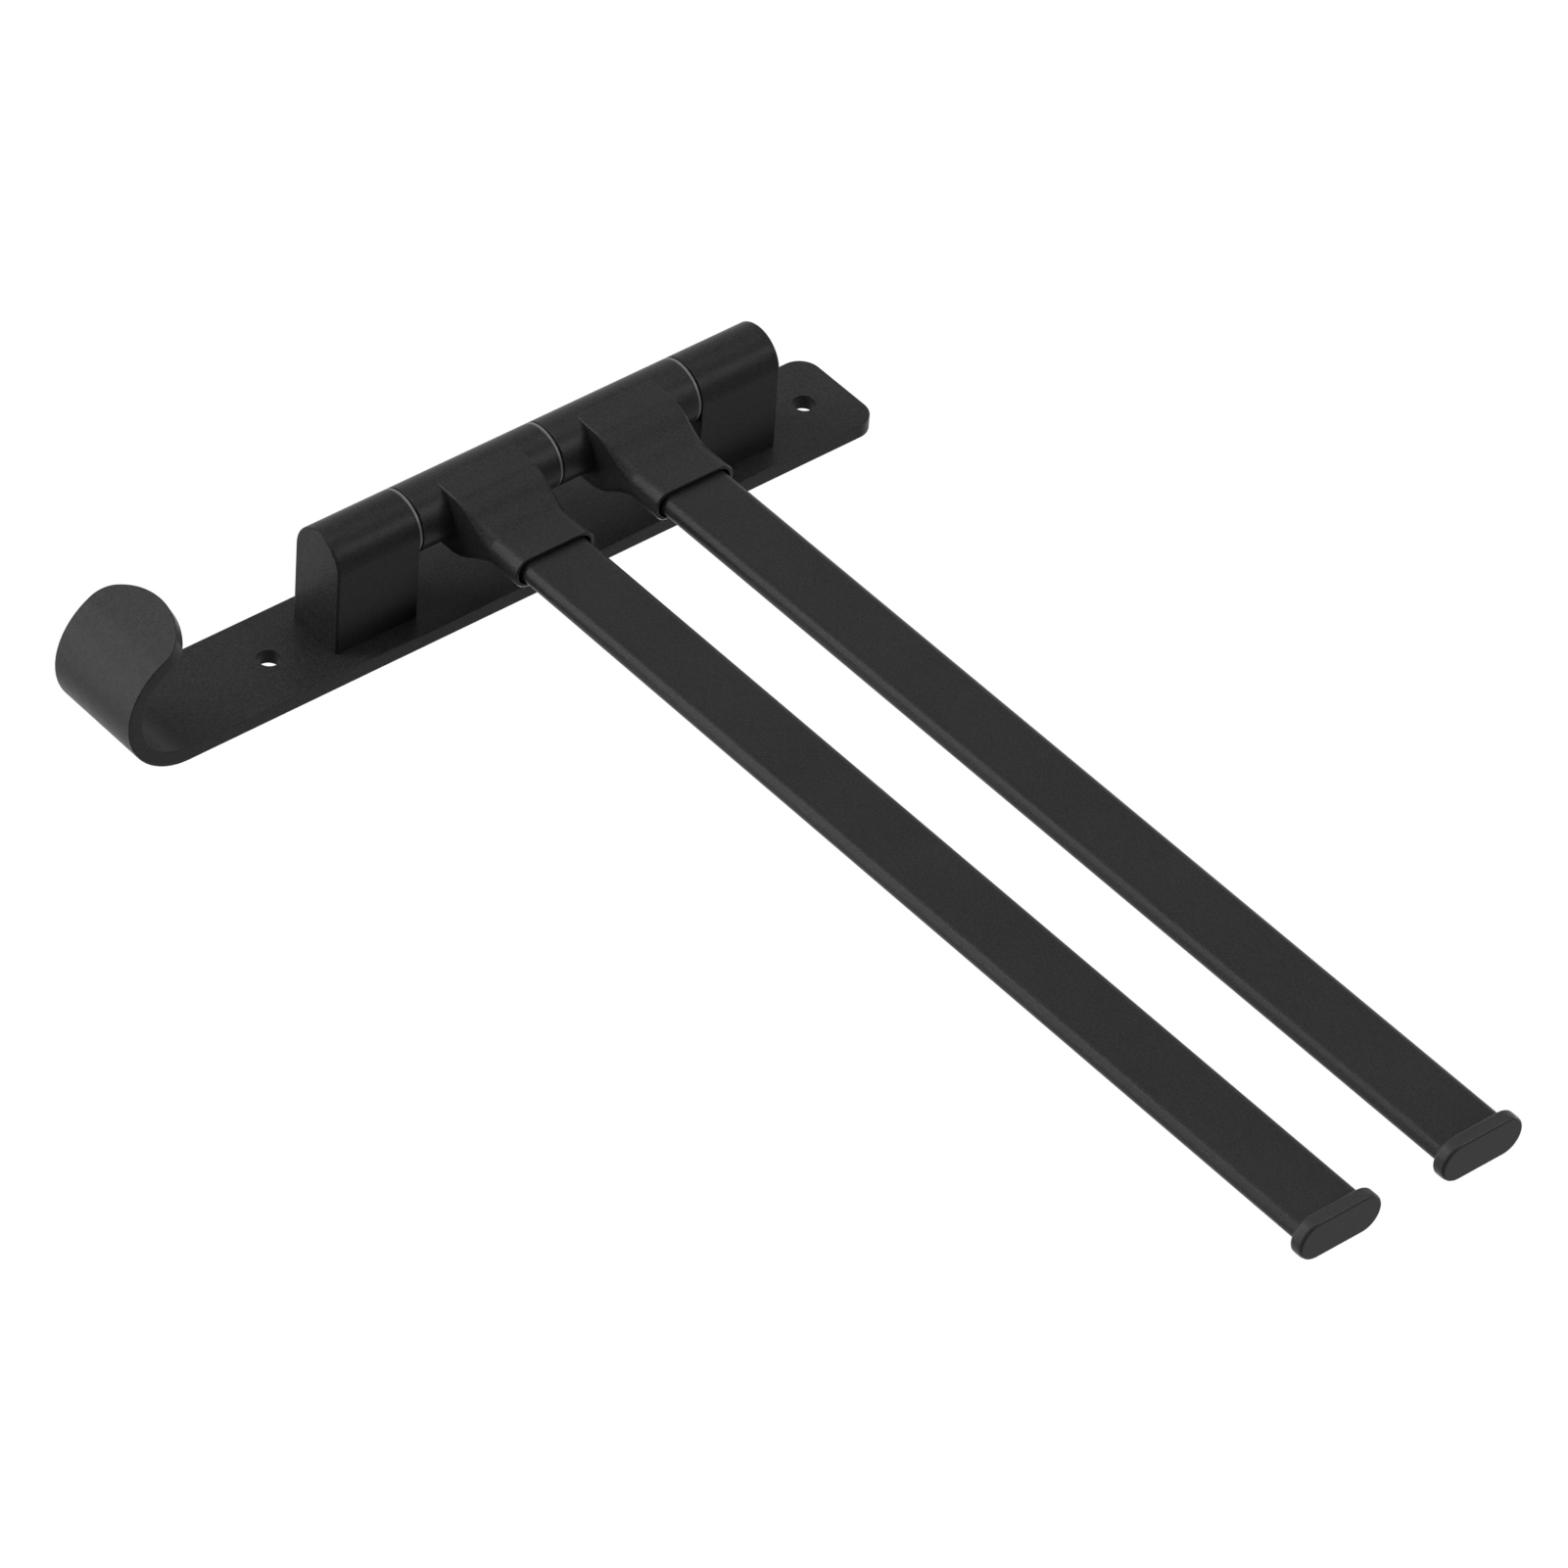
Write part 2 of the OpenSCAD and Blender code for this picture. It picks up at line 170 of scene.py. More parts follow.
class Sheet:
    """The node tree of one material or world."""

    # Numbers of the sockets of a Mix node that mixes colours.
    SHARE, FIRST, SECOND, RESULT = 0, 6, 7, 2

    def __init__(self, owner: bpy.types.Material | bpy.types.World) -> None:
        """Clears the owner's node tree and starts a new one.

        Args:
            owner: The material or world.
        """
        owner.use_nodes = True
        self.tree = owner.node_tree
        self.tree.nodes.clear()

    def node(self, kind: str, settings: dict[str, object] | None = None,
             inputs: dict[str | int, object] | None = None) -> Node:
        """Adds any node.

        Args:
            kind: The node's type.
            settings: Its own settings, made first.
            inputs: Values, ports, sockets or nodes for its sockets, by name or number.

        Returns:
            The new node.
        """
        made = self.tree.nodes.new(kind)
        for name, value in (settings or {}).items():
            setattr(made, name, value)
        for name, value in (inputs or {}).items():
            if isinstance(value, Port):
                value = value.socket
            elif isinstance(value, Node):
                value = value.outputs[0]
            if isinstance(value, Socket):
                self.tree.links.new(value, made.inputs[name])
            else:
                made.inputs[name].default_value = value
        return made

    def noise(self, size_mm: float, detail: float, stretch: Point3 = (1.0, 1.0, 1.0)) -> Port:
        """A random pattern.

        Args:
            size_mm: Width of one patch.
            detail: Number of finer patterns in it.
            stretch: Scale along each axis, where less than 1 draws the pattern out.

        Returns:
            The pattern, about 0.5 on average.
        """
        place = self.node("ShaderNodeTexCoord").outputs["Object"]
        mapped = self.node("ShaderNodeMapping", {}, {"Vector": place, "Scale": stretch})
        node = self.node("ShaderNodeTexNoise", {}, {
            "Vector": mapped, "Scale": 1.0 / (size_mm * MM), "Detail": detail, "Roughness": 0.55})
        return Port(self, node.outputs[0])

    def rim(self) -> Port:
        """The mask that the pieces carry along their edges, for polish and a painted highlight."""
        node = self.node("ShaderNodeAttribute", {"attribute_name": "rim"})
        return Port(self, node.outputs["Fac"])

    def blend(self, share: Port, first: Colour, second: Colour) -> Socket:
        """Mixes two colours.

        Args:
            share: How much of the second colour there is.
            first: The colour at 0.
            second: The colour at 1.

        Returns:
            The mixed colour's socket.
        """
        node = self.node("ShaderNodeMix", {"data_type": "RGBA"}, {
            self.SHARE: share, self.FIRST: (*first, 1.0), self.SECOND: (*second, 1.0)})
        return node.outputs[self.RESULT]

    def relief(self, height: Port, depth_mm: float, strength: float,
               under: Node | None = None) -> Node:
        """A Bump node.

        Args:
            height: The pattern that raises the surface.
            depth_mm: How high its peaks stand.
            strength: How much of it shows.
            under: Another Bump node that this one adds to.

        Returns:
            The Bump node.
        """
        inputs = {"Height": height, "Distance": depth_mm * MM, "Strength": strength}
        if under is not None:
            inputs["Normal"] = under
        return self.node("ShaderNodeBump", {}, inputs)


def grey(level: float) -> Colour:
    """A neutral colour."""
    return level, level, level


def scaled(colour: Colour, share: float) -> Colour:
    """A colour made lighter or darker by a share."""
    return tuple(min(1.0, c * share) for c in colour)


@dataclass(frozen=True)
class Layer:
    """A random pattern of a finish, and what its swing about its average changes.

    Attributes:
        size_mm: Width of one patch.
        detail: Number of finer patterns in it.
        tint: How far it moves the colour from the finish's dark end to its light one.
        dulling: How far it raises the roughness.
        height_mm: Height of its relief, where 0 is none.
        strength: How much of the relief shows.
        stretch: Scale along each axis, where less than 1 draws the pattern out.
    """

    size_mm: float
    detail: float
    tint: float = 0.0
    dulling: float = 0.0
    height_mm: float = 0.0
    strength: float = 1.0
    stretch: Point3 = (1.0, 1.0, 1.0)

    def level(self, pattern: Port) -> Port:
        """What changes colour and roughness: the pattern's swing about its average, a half."""
        return pattern - 0.5


@dataclass(frozen=True)
class Flecks(Layer):
    """Sparse flecks where a pattern is at its highest.

    Attributes:
        threshold: Level of the pattern where a fleck starts.
        contrast: How fast it grows from there.
    """

    threshold: float = 0.66
    contrast: float = 6.0

    def level(self, pattern: Port) -> Port:
        """Where the flecks are, from 0 to 1."""
        return ((pattern - self.threshold) * self.contrast).clamped()


@dataclass(frozen=True)
class EdgePolishAndSheen(Layer):
    """Patches of polish along the edges, where the colour is also painted lighter as a highlight.

    Attributes:
        contrast: How strongly the patches differ.
        spared: How much of them is left without polish and painted highlight.
    """

    contrast: float = 1.4
    spared: float = 0.1

    def level(self, pattern: Port) -> Port:
        """Where the edges are polished and painted lighter as a highlight, from 0 to 1."""
        # The tint that this level drives is a painted highlight along the edges; the lower
        # roughness is polish.
        return (pattern.sheet.rim() * (pattern * self.contrast - self.spared)).clamped()


@dataclass(frozen=True)
class Finish(ABC):
    """A surface finish that is made into one material.

    Attributes:
        name: The material's name.
        slot: The record's material slot; not used here.
        colour: The base colour, linear.
        roughness: The average roughness.
        mottle: Share by which the colour wanders to its dark and its light end.
    """

    name: str
    slot: str
    colour: Colour
    roughness: float
    mottle: float = 0.08

    @abstractmethod
    def layers(self) -> tuple[Layer, ...]:
        """The finish's patterns, of which a later one's relief lies on an earlier one's."""

    @abstractmethod
    def constants(self) -> dict[str, float]:
        """The shader's values that are the same all over the surface."""

    def shader(self, sheet: Sheet) -> Node:
        """Builds the shader from the layers and constants.

        Args:
            sheet: The new material's sheet.

        Returns:
            The shader node.
        """
        share: Port | float = 0.5
        roughness: Port | float = self.roughness
        relief = None
        for layer in self.layers():
            pattern = sheet.noise(layer.size_mm, layer.detail, layer.stretch)
            level = layer.level(pattern)
            if layer.tint:
                share = share + level * layer.tint
            if layer.dulling:
                roughness = roughness + level * layer.dulling
            if layer.height_mm:
                relief = sheet.relief(pattern, layer.height_mm, layer.strength, relief)
        dark = scaled(self.colour, 1 - self.mottle)
        light = scaled(self.colour, 1 + self.mottle)
        return sheet.node("ShaderNodeBsdfPrincipled", {}, {
            "Base Color": sheet.blend(share.clamped(), dark, light),
            "Roughness": roughness.clamped(), "Normal": relief, **self.constants()})

    def material(self) -> bpy.types.Material:
        """Makes the material, or finds the one made before.

        Returns:
            The material.
        """
        found = bpy.data.materials.get(self.name)
        if found is not None:
            return found
        made = bpy.data.materials.new(self.name)
        sheet = Sheet(made)
        sheet.node("ShaderNodeOutputMaterial", {}, {"Surface": self.shader(sheet)})
        made.diffuse_color = (*self.colour, 1.0)
        return made


@dataclass(frozen=True)
class BlackCoat(Finish):
    """Matte black coating baked on metal, with the fine pebble grain of powder.

    Attributes:
        grain_mm: Width of one grain.
        shine: Specular level of the coating.
    """

    mottle: float = 0.55
    grain_mm: float = 0.65
    shine: float = 0.095

    def layers(self) -> tuple[Layer, ...]:
        """Waves of the flowing powder, thicker patches, grain, polished edges painted lighter as a
        highlight, and dull flecks.

        Returns:
            The layers in that order.
        """
        waves = Layer(4.0, 2.0, height_mm=0.16, strength=0.25)
        patches = Layer(28.0, 3.0, tint=0.4, dulling=0.1)
        grain = Layer(self.grain_mm, 3.0, tint=2.4, dulling=0.1, height_mm=0.08)
        # Polish along the edges, and a painted highlight: its tint lightens the colour there.
        polish_and_sheen_layer = EdgePolishAndSheen(2.2, 2.0, tint=0.24, dulling=-0.08)
        flecks = Flecks(0.9, 1.0, dulling=0.05)
        return waves, patches, grain, polish_and_sheen_layer, flecks

    def constants(self) -> dict[str, float]:
        """The coating's specular level."""
        return {"Specular IOR Level": self.shine}


@dataclass(frozen=True)
class MouldedPlastic(Finish):
    """Moulded plastic with a spark-eroded matte skin.

    Attributes:
        grain_mm: Width of one pit of the skin.
        shine: Specular level.
        glow: Share of light that scatters inside.
        glow_depth_mm: How far it scatters.
    """

    grain_mm: float = 0.3
    shine: float = 0.35
    glow: float = 0.0
    glow_depth_mm: float = 0.8

    def layers(self) -> tuple[Layer, ...]:
        """Patches of the moulding, pits of the skin, and polished edges painted lighter as a
        highlight.

        Returns:
            The layers in that order.
        """
        patches = Layer(9.0, 2.0, tint=0.5, dulling=0.08)
        pits = Layer(self.grain_mm, 2.0, tint=2.0, dulling=0.1, height_mm=0.008, strength=0.3)
        # Polish along the edges, and a painted highlight: its tint lightens the colour there.
        polish_and_sheen_layer = EdgePolishAndSheen(1.5, 2.0, tint=0.5, dulling=-0.05, contrast=1.5)
        return patches, pits, polish_and_sheen_layer

    def constants(self) -> dict[str, float]:
        """The plastic's specular level and inner scattering."""
        return {"Specular IOR Level": self.shine, "Subsurface Weight": self.glow,
                "Subsurface Scale": self.glow_depth_mm * MM}


@dataclass(frozen=True)
class WorkedMetal(Finish):
    """Bare or plated metal with fine marks from its tool.

    Attributes:
        stretch: Scale of the marks along each axis, where less than 1 is along the marks.
        mark_mm: Width of one mark.
    """

    mottle: float = 0.12
    stretch: Point3 = (1.0, 1.0, 1.0)
    mark_mm: float = 0.15

    def layers(self) -> tuple[Layer, ...]:
        """Stains and tool marks.

        Returns:
            The layers in that order.
        """
        stains = Layer(3.0, 3.0, tint=1.8, dulling=0.12)
        marks = Layer(self.mark_mm, 3.0, tint=0.8, dulling=0.25, height_mm=0.004, strength=0.25,
                      stretch=self.stretch)
        return stains, marks

    def constants(self) -> dict[str, float]:
        """Metal all over."""
        return {"Metallic": 1.0}


PLATE_COAT = BlackCoat("coat_plate", "plate_black", grey(0.0145), 0.43)
# Darker than the other black coats: painted shade for the posts' faces, which lie in shade.
SHADED_POST_COAT = BlackCoat("coat_post", "post_black", grey(0.0125), 0.42, shine=0.075)
HUB_COAT = BlackCoat("coat_hub", "hub_black", grey(0.014), 0.38)
BAR_COAT = BlackCoat("coat_bar", "bar_black", grey(0.014), 0.32, grain_mm=0.5)
CAP_PLASTIC = MouldedPlastic(
    "plastic_cap", "cap_black", grey(0.0175), 0.40, mottle=0.3, grain_mm=0.5, shine=0.13)
WASHER_PLASTIC = MouldedPlastic("plastic_washer", "washer_grey", grey(0.09), 0.42, shine=0.3)
BUSH_PLASTIC = MouldedPlastic(
    "plastic_bush", "bush_pale", (0.66, 0.64, 0.58), 0.40, shine=0.5, glow=0.1)
ROD_STEEL = WorkedMetal(
    "steel_rod", "rod_steel", (0.56, 0.56, 0.57), 0.25, stretch=(0.05, 0.05, 1.0))
SCREW_STEEL = WorkedMetal("steel_screw", "screw_steel", (0.34, 0.34, 0.35), 0.36, mark_mm=0.25)
PLUG_METAL = WorkedMetal(
    "metal_plug", "plug_aluminium", (0.58, 0.58, 0.59), 0.34, stretch=(0.05, 1.0, 1.0))


class Workpiece:
    """A mesh being made from bmesh operators, in millimetres."""

    def __init__(self, name: str) -> None:
        """Starts an empty mesh that carries a mask for edge polish and a painted edge highlight.

        Args:
            name: Name of the piece.
        """
        self.name = name
        self.bm = bmesh.new()
        # The rim mask marks where edges get polish and a painted highlight.
        self.rim = self.bm.verts.layers.float.new("rim")

    def loop(self, points: Sequence[Sequence[float]]) -> list[Edge]:
        """A closed loop of edges: a circle whose points are moved onto a section.

        Args:
            points: The section's points in order.

        Returns:
            The loop's edges.
        """
        verts = bmesh.ops.create_circle(
            self.bm, cap_ends=False, segments=len(points), radius=1.0)["verts"]
        for vert, point in zip(verts, points, strict=True):
            vert.co = point
        return list({edge for vert in verts for edge in vert.link_edges})

    def bridge(self, *loops: list[Edge]) -> None:
        """Skins each loop to the next one."""
        for first, second in zip(loops, loops[1:], strict=False):
            bmesh.ops.bridge_loops(self.bm, edges=first + second)

    def cap(self, edges: list[Edge]) -> Face:
        """Fills a loop with one flat face."""
        return bmesh.ops.contextual_create(self.bm, geom=edges)["faces"][0]

    def push(self, face: Face, step: Vector) -> None:
        """Extrudes a face by a step."""
        made = bmesh.ops.extrude_face_region(self.bm, geom=[face])["geom"]
        bmesh.ops.translate(self.bm, vec=step, verts=only(made, bmesh.types.BMVert))

    def tidy(self) -> None:
        """Merges doubles and turns every face outwards."""
        bmesh.ops.remove_doubles(self.bm, verts=self.bm.verts, dist=MERGE)
        bmesh.ops.recalc_face_normals(self.bm, faces=self.bm.faces)

    def creases(self, limit_deg: float = 60.0) -> list[Edge]:
        """The edges where two faces meet at more than an angle."""
        limit = math.radians(limit_deg)
        return [e for e in self.bm.edges if e.is_manifold and e.calc_face_angle(0.0) > limit]

    def soften(self, edges: Iterable[Edge], radius: float, facets: int = 3) -> None:
        """Rounds edges and marks the rounding for polish and a painted highlight.

        Args:
            edges: The edges to round.
            radius: How far the rounding reaches on each side.
            facets: Number of facets across it.
        """
        made = bmesh.ops.bevel(
            self.bm, geom=list(edges), offset=radius, offset_type="OFFSET", affect="EDGES",
            segments=facets, profile=0.5, material=-1, clamp_overlap=True)
        for face in made["faces"]:
            for vert in face.verts:
                vert[self.rim] = 1.0

    def mark(self, worn: Callable[[Vector], bool]) -> None:
        """Marks the points that a rule picks for polish and a painted highlight, and clears the
        others.
        """
        for vert in self.bm.verts:
            vert[self.rim] = float(worn(vert.co))

    def finish(self, place: Matrix | None = None) -> Piece:
        """Makes the object, smooth-shaded with its flat faces kept flat.

        Args:
            place: Where the piece's own frame sits in the row frame, in millimetres.

        Returns:
            The object, at the origin, in metres.
        """
        crease(self.bm)
        matrix = Matrix.Scale(MM, 4) @ (place or Matrix.Identity(4))
        bmesh.ops.transform(self.bm, matrix=matrix, verts=self.bm.verts)
        mesh = bpy.data.meshes.new(self.name)
        self.bm.to_mesh(mesh)
        self.bm.free()
        piece = bpy.data.objects.new(self.name, mesh)
        bpy.context.scene.collection.objects.link(piece)
        return piece


def only(geometry: Iterable[object], kind: type) -> list:
    """The points, edges or faces among what an operator made."""
    return [element for element in geometry if isinstance(element, kind)]


def crease(bm: bmesh.types.BMesh, limit_deg: float = 35.0) -> None:
    """Smooth-shades every face and keeps edges sharper than a limit crisp.

    Args:
        bm: The mesh.
        limit_deg: The limit.
    """
    for face in bm.faces:
        face.smooth = True
    for edge in bm.edges:
        edge.smooth = edge.is_manifold and edge.calc_face_angle(0.0) < math.radians(limit_deg)


def carve(piece: Piece, cutters: Sequence[Piece]) -> None:
    """Cuts holes in a piece and keeps the result as its mesh.

    Args:
        piece: The piece to cut.
        cutters: Closed solids, which are removed afterwards.
    """
    for cutter in cutters:
        modifier = piece.modifiers.new("cut", "BOOLEAN")
        modifier.operation = "DIFFERENCE"
        modifier.solver = "MANIFOLD"
        modifier.object = cutter
    graph = bpy.context.evaluated_depsgraph_get()
    cut = bpy.data.meshes.new_from_object(piece.evaluated_get(graph))
    piece.modifiers.clear()
    piece.data = cut
    cut.name = piece.name
    for cutter in cutters:
        bpy.data.objects.remove(cutter)
    bm = bmesh.new()
    bm.from_mesh(cut)
    crease(bm)
    bm.to_mesh(cut)
    bm.free()


def gather(piece: Piece, other: Piece) -> None:
    """Takes another piece's mesh into a piece.

    Args:
        piece: The piece that stays.
        other: The piece that goes into it.
    """
    bm = bmesh.new()
    bm.from_mesh(piece.data)
    bm.from_mesh(other.data)
    bm.to_mesh(piece.data)
    bm.free()
    bpy.data.objects.remove(other)


def install(piece: Piece, node: str, body: str, finish: Finish) -> None:
    """Puts a finished piece in the part in place of a CAD node.

    Its normals are weighted, so that flats stay flat beside small roundings.

    Args:
        piece: The finished piece.
        node: The CAD node that it stands for.
        body: The body that it rides on.
        finish: Its finish.
    """
    piece.data.materials.clear()
    piece.data.materials.append(finish.material())
    piece.modifiers.new("even_shading", "WEIGHTED_NORMAL").keep_sharp = True
    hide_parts(node)
    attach(piece, body)
    LOG.info("%s: %d faces, finish %s", piece.name, len(piece.data.polygons), finish.name)


def obround(width: float, height: float, radius: float, corner: int, flank: int = 0) -> list[Point]:
    """Points round a rectangle with round corners.

    Args:
        width: Its size along the first axis.
        height: Its size along the second axis.
        radius: Radius of its corners.
        corner: Facets on each corner.
        flank: Further points along each of the two sides that cap the width.

    Returns:
        The points in order, anticlockwise from the first corner.
    """
    points: list[Point] = []
    for quadrant in range(4):
        side = 1 if quadrant in (0, 3) else -1
        face = 1 if quadrant < 2 else -1
        x, y = side * (width / 2 - radius), face * (height / 2 - radius)
        for step in range(corner + 1):
            angle = math.radians(90.0 * (quadrant + step / corner))
            points.append((x + radius * math.cos(angle), y + radius * math.sin(angle)))
        if quadrant in (1, 3):
            for step in range(1, flank + 1):
                points.append((side * width / 2, y * (1 - 2 * step / (flank + 1))))
    return points


def across(reach: float, outline: Iterable[Point]) -> list[Point3]:
    """Stands an outline up across an arm at a distance from the swing axis."""
    return [(reach, y, z) for z, y in outline]


def turned(name: str, profile: Sequence[Point], facets: int = 128) -> Workpiece:
    """A turned ring about the Z axis.

    Args:
        name: Name of the piece.
        profile: Closed section as (radius, height) points.
        facets: Facets round it.

    Returns:
        The workpiece.
    """
    work = Workpiece(name)
    edges = work.loop([(radius, 0.0, z) for radius, z in profile])
    verts = {vert for edge in edges for vert in edge.verts}
    bmesh.ops.spin(work.bm, geom=[*verts, *edges], cent=(0, 0, 0), axis=(0, 0, 1), dvec=(0, 0, 0),
                   angle=math.tau, steps=facets, use_merge=True, use_duplicate=False)
    work.tidy()
    axis = [edge for edge in work.bm.edges if not edge.link_faces]
    bmesh.ops.delete(work.bm, geom=axis, context="EDGES")
    return work


def rounded_profile(corners: Sequence[Point3], facets: int = 4) -> list[Point]:
    """A closed polygon with rounded corners.

    Args:
        corners: Its corners as (x, y, radius), where radius 0 stays sharp.
        facets: Facets on each rounded corner.

    Returns:
        The points in order.
    """
    points: list[Point] = []
    for index, (x, y, radius) in enumerate(corners):
        if radius == 0:
            points.append((x, y))
            continue
        here = Vector((x, y))
        before = (Vector(corners[index - 1][:2]) - here).normalized()
        after = (Vector(corners[(index + 1) % len(corners)][:2]) - here).normalized()
        half = before.angle(after) / 2
        reach = radius / math.tan(half)
        centre = here + (before + after).normalized() * radius / math.sin(half)
        start, end = here + before * reach - centre, here + after * reach - centre
        for step in range(facets + 1):
            arm = start.normalized().slerp(end.normalized(), step / facets)
            points.append(tuple(centre + arm * radius))
    return points


@dataclass
class BackPlate:
    """The wall plate and the hook that its lower end is bent into, in millimetres.

    Attributes:
        width: Width of the strip.
        thickness: Thickness of the strip.
        top_z: Height of its top end.
        corner_radius: Radius of its top corners.
        bend_z: Height where the hook's bend starts.
        bend_radius: Outer radius of the bend.
        bend_deg: Angle of the bend.
        tongue: Length of the tongue past the bend.
        tongue_straight: Length of the tongue's straight sides.
        tongue_corner: Radius of the tongue's corners.
        edge: Rounding of the strip's edges.
        wall_holes: Heights of the wall screw holes.
        wall_hole_radius: Their radius.
        wall_hole_edge: Width of the chamfer on their rims.
        screw_holes: Heights of the holes for the posts' screws.
        screw_radius: Their radius.
        screw_head_radius: Radius of their countersinks.
    """

    width: float = 38.0
    thickness: float = 5.4
    top_z: float = 122.6
    corner_radius: float = 7.5
    bend_z: float = -151.5
    bend_radius: float = 23.5
    bend_deg: float = 152.0
    tongue: float = 14.5
    tongue_straight: float = 0.5
    tongue_corner: float = 11.0
    edge: float = 0.35
    wall_holes: tuple[float, ...] = (-107.0, 107.0)
    wall_hole_radius: float = 3.8
    wall_hole_edge: float = 0.1
    screw_holes: tuple[float, ...] = (-83.15, -64.15, 60.55, 79.55)
    screw_radius: float = 2.1
    screw_head_radius: float = 4.15

    def tongue_points(self) -> list[Point]:
        """The tongue's outline: two corners joined by one wide arc round the tip.

        Returns:
            Its points from one side to the other as (across, along).
        """
        facets = 64
        side = self.width / 2 - self.tongue_corner
        length = self.tongue - self.tongue_straight
        tip_radius = ((side ** 2 + length ** 2 - self.tongue_corner ** 2)
                      / (2 * (length - self.tongue_corner)))
        tip_y = self.tongue - tip_radius
        turn = math.degrees(math.atan2(self.tongue_straight - tip_y, side))
        points: list[Point] = []
        for step in range(facets + 1):
            degrees = 180.0 * step / facets
            if turn < degrees < 180.0 - turn:
                x, y, radius = 0.0, tip_y, tip_radius
            else:
                x = side if degrees <= 90.0 else -side
                y, radius = self.tongue_straight, self.tongue_corner
            angle = math.radians(degrees)
            points.append((x + radius * math.cos(angle), y + radius * math.sin(angle)))
        return points

    def strip(self) -> Workpiece:
        """The bent strip without its holes.

        Returns:
            The workpiece, with rounded edges.
        """
        work = Workpiece("plate_with_hook")
        bm, half = work.bm, self.width / 2
        start = [bm.verts.new((x, 0.0, self.bend_z)) for x in (-half, half)]
        first = bm.edges.new(start)
        top = only(bmesh.ops.extrude_edge_only(bm, edges=[first])["geom"], bmesh.types.BMVert)
        bmesh.ops.translate(bm, vec=(0, 0, self.top_z - self.bend_z), verts=top)
        bmesh.ops.bevel(bm, geom=top, offset=self.corner_radius, offset_type="OFFSET",
                        affect="VERTICES", segments=16, profile=0.5, material=-1,
                        clamp_overlap=True)
        centre = Vector((0.0, -self.bend_radius, self.bend_z))
        turn = math.radians(self.bend_deg)
        bend = bmesh.ops.spin(
            bm, geom=[first], cent=centre, axis=(-1, 0, 0), dvec=(0, 0, 0), angle=turn, steps=72,
            use_merge=False, use_duplicate=False)["geom_last"]
        last = only(bend, Edge)[0]
        ends = sorted(last.verts, key=lambda v: -v.co.x)
        along = Vector((0.0, -math.sin(turn), -math.cos(turn)))
        base = (ends[0].co + ends[1].co) / 2
        rim = [bm.verts.new(base + Vector((x, 0, 0)) + along * y) for x, y in self.tongue_points()]
        chain = [ends[0], *rim, ends[1]]
        sides = [bm.edges.new(pair) for pair in zip(chain, chain[1:], strict=False)]
        work.cap([last, *sides])
        bmesh.ops.recalc_face_normals(bm, faces=bm.faces)
        plate = max(bm.faces, key=lambda f: f.calc_area())
        towards_room = 1.0 if plate.normal.y > 0 else -1.0
        bmesh.ops.solidify(bm, geom=bm.faces[:], thickness=towards_room * self.thickness)
        work.tidy()
        work.soften(work.creases(), self.edge)
        return work

    def cutter(self, z: float, radius: float, flare: float, back: float) -> Piece:
        """A solid that cuts one hole.

        Args:
            z: Height of the hole.
            radius: Its radius.
            flare: Width of the small chamfer on its room side.
            back: Radius of its mouth on the wall side.

        Returns:
            The cutter.
        """
        depth = self.thickness
        profile = [(0.0, -OVERCUT), (back + OVERCUT, -OVERCUT), (radius, back - radius),
                   (radius, depth - flare), (radius + flare + OVERCUT, depth + OVERCUT),
                   (0.0, depth + OVERCUT)]
        work = turned("hole_cutter", profile, facets=64)
        turn = Matrix.Rotation(math.radians(90.0), 4, "X")
        return work.finish(Matrix.Translation((0, 0, z)) @ turn)

    def build(self) -> None:
        """Makes the plate, cuts its holes and puts it in the part."""
        piece = self.strip().finish()
        radius, edge = self.wall_hole_radius, self.wall_hole_edge
        cutters = [self.cutter(z, radius, edge, radius + edge) for z in self.wall_holes]
        cutters += [self.cutter(z, self.screw_radius, 0.0, self.screw_head_radius)
                    for z in self.screw_holes]
        carve(piece, cutters)
        install(piece, "back_plate", "wall_bracket", PLATE_COAT)


